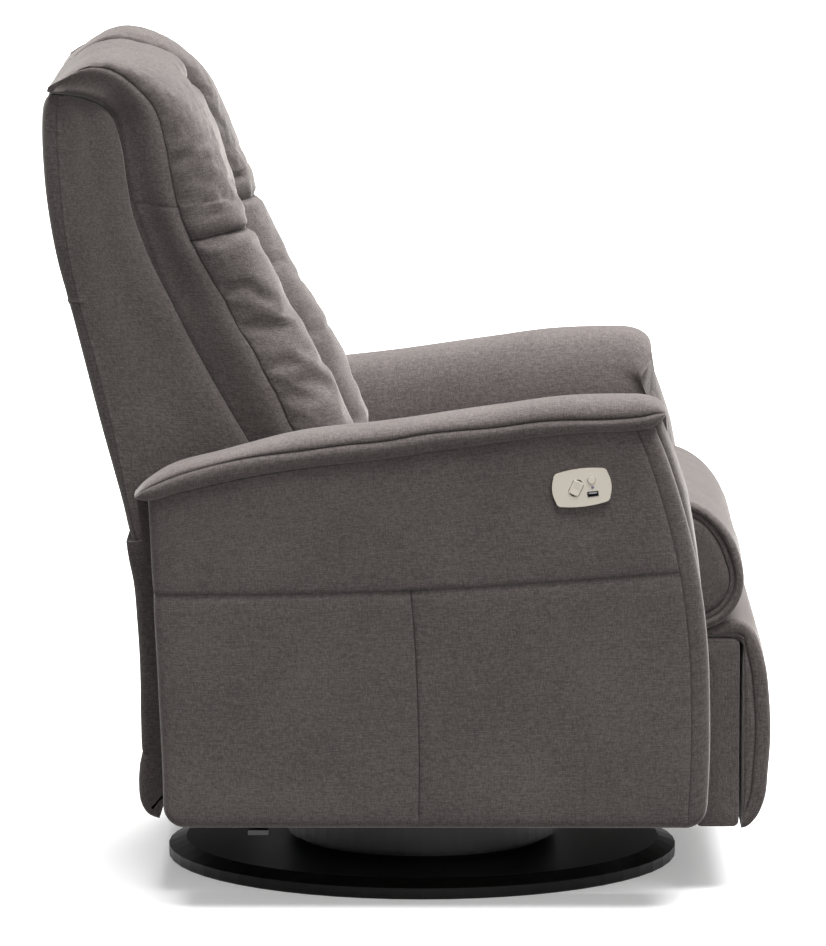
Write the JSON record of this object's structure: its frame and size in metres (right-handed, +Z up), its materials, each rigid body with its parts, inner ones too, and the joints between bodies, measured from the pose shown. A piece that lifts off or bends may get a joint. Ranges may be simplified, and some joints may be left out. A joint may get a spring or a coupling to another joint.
{
  "type": "recliner armchair",
  "caption": "Upholstered swivel recliner armchair: padded arms, segmented backrest, roll-front seat, folding legrest, round floor base and a control plate on an arm.",
  "frame": {"origin": "on the floor, on the swivel axis at the centre of the round base", "axes": "+Z up; the chair faces -Y; the sitter's right arm with the control plate is at -X"},
  "size_m": [0.8494, 0.94, 1.0832],
  "materials": {
    "fabric": "matte",
    "lacquered_base": "gloss",
    "black_steel": "satin",
    "bright_steel": "satin",
    "rubber": "matte",
    "plywood": "matte",
    "beige_plastic": "satin",
    "black_plastic": "satin",
    "lens": "gloss"
  },
  "bodies": {
    "base": {"base_disc": "lacquered_base", "base_glide_ring": "rubber", "swivel_lower_race": "black_steel", "swivel_ball_ring": "bright_steel", "swivel_pin": "bright_steel"},
    "chassis": {"swivel_turret": "black_steel", "turret_plate": "black_steel", "frame_cross_front": "black_steel", "frame_cross_rear": "black_steel", "glide_rail_right": "bright_steel", "glide_rail_left": "bright_steel", "arm_frame_right": "plywood", "arm_frame_left": "plywood", "arm_outer_panel_right": "fabric", "arm_outer_panel_left": "fabric", "arm_inner_panel_right": "fabric", "arm_inner_panel_left": "fabric", "arm_pad_right": "fabric", "arm_pad_left": "fabric", "rear_skirt": "fabric", "control_plate": "beige_plastic", "control_housing": "black_plastic", "status_led": "lens", "usb_socket": "black_plastic", "recline_actuator": "black_plastic", "power_supply": "black_plastic", "power_inlet": "black_plastic"},
    "carriage": {"carriage_side_right": "black_steel", "carriage_side_left": "black_steel", "carriage_cross_front": "black_steel", "carriage_cross_rear": "black_steel", "seat_board": "plywood", "seat_cushion": "fabric", "back_bracket_right": "black_steel", "back_bracket_left": "black_steel", "back_pivot_shaft": "bright_steel", "recline_rod": "bright_steel", "legrest_actuator": "black_plastic"},
    "back": {"back_frame": "black_steel", "back_board": "plywood", "back_shell": "fabric", "wing_right": "fabric", "wing_left": "fabric", "head_cushion": "fabric", "lumbar_cushion": "fabric"},
    "legrest_drive": {"torque_tube": "bright_steel", "drive_link_right": "black_steel", "drive_link_left": "black_steel", "crank": "black_steel"},
    "legrest_lift": {"lift_shaft": "bright_steel", "lift_link_right": "black_steel", "lift_link_left": "black_steel"},
    "legrest": {"board_shaft": "bright_steel", "legrest_bracket_right": "black_steel", "legrest_bracket_left": "black_steel", "legrest_block": "fabric", "legrest_pad": "fabric"},
    "legrest_rod": {"legrest_rod": "bright_steel"},
    "rocker": {"rocker": "beige_plastic"},
    "home_button": {"home_button": "beige_plastic"}
  },
  "joints": [
    {"name": "base_swivel", "type": "hinge", "parent": "base", "child": "chassis", "pos_m": [0, 0, 0.031], "axis": [0, 0, 1], "continuous": true},
    {"name": "seat_glide", "type": "slide", "parent": "chassis", "child": "carriage", "axis": [0, -1, 0], "range_m": [0, 0.11]},
    {"name": "back_recline", "type": "hinge", "parent": "carriage", "child": "back", "pos_m": [0, 0.235, 0.42], "axis": [-1, 0, 0], "range_deg": [0, 32]},
    {"name": "legrest_fold", "type": "hinge", "parent": "carriage", "child": "legrest_drive", "pos_m": [0, -0.276, 0.3], "axis": [-1, 0, 0], "range_deg": [0, 40]},
    {"name": "legrest_lift_fold", "type": "hinge", "parent": "legrest_drive", "child": "legrest_lift", "pos_m": [0, -0.30552, 0.13258], "axis": [1, 0, 0], "range_deg": [0, 80]},
    {"name": "legrest_tilt", "type": "hinge", "parent": "legrest_lift", "child": "legrest", "pos_m": [0, -0.33504, 0.3], "axis": [-1, 0, 0], "range_deg": [0, 125]},
    {"name": "legrest_rod_travel", "type": "slide", "parent": "carriage", "child": "legrest_rod", "axis": [0, -1, 0], "range_m": [0, 0.0411]},
    {"name": "rocker_tilt", "type": "hinge", "parent": "chassis", "child": "rocker", "pos_m": [-0.415, -0.1948, 0.5419], "axis": [0, 0.9063, 0.4226], "range_deg": [-5, 5], "stiffness_Nm_per_rad": 0.05},
    {"name": "home_button_press", "type": "slide", "parent": "chassis", "child": "home_button", "axis": [1, 0, 0], "range_m": [0, 0.0015], "stiffness_N_per_m": 300}
  ],
  "couplings": [
    {"joint": "back_recline", "follows": "seat_glide", "rad_per_m": 5.077},
    {"joint": "legrest_lift_fold", "follows": "legrest_fold", "ratio": 2},
    {"joint": "legrest_tilt", "follows": "legrest_fold", "ratio": 3.125},
    {"joint": "legrest_rod_travel", "follows": "legrest_fold", "m_per_rad": 0.05878}
  ]
}
